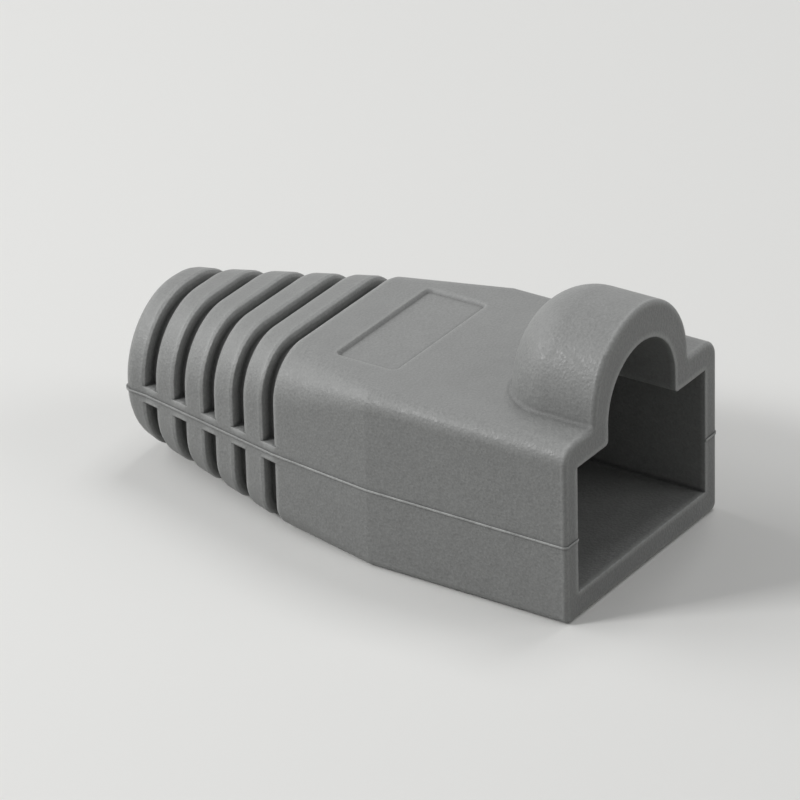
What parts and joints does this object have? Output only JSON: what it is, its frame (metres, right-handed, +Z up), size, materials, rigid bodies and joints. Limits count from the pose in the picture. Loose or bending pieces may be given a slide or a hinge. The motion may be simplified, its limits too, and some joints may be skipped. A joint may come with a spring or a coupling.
{
  "type": "modular plug strain relief boot",
  "caption": "Slip-on moulded boot for a modular network plug: a square hood with a domed latch cover and a ribbed, flexible cable tail ending in a round ring.",
  "frame": {"origin": "centre of the bounding box in plan, on the plane of the flat underside", "axes": "+Y along the boot towards the cable, -Y out of the mouth that takes the plug, +Z up through the roof and the latch arch, X across the width"},
  "size_m": [0.0142, 0.0282, 0.0142],
  "materials": {
    "boot_pvc": "fine spark-eroded matte grey, soft plasticised PVC"
  },
  "bodies": {
    "root": {"boot": "boot_pvc"}
  },
  "joints": []
}
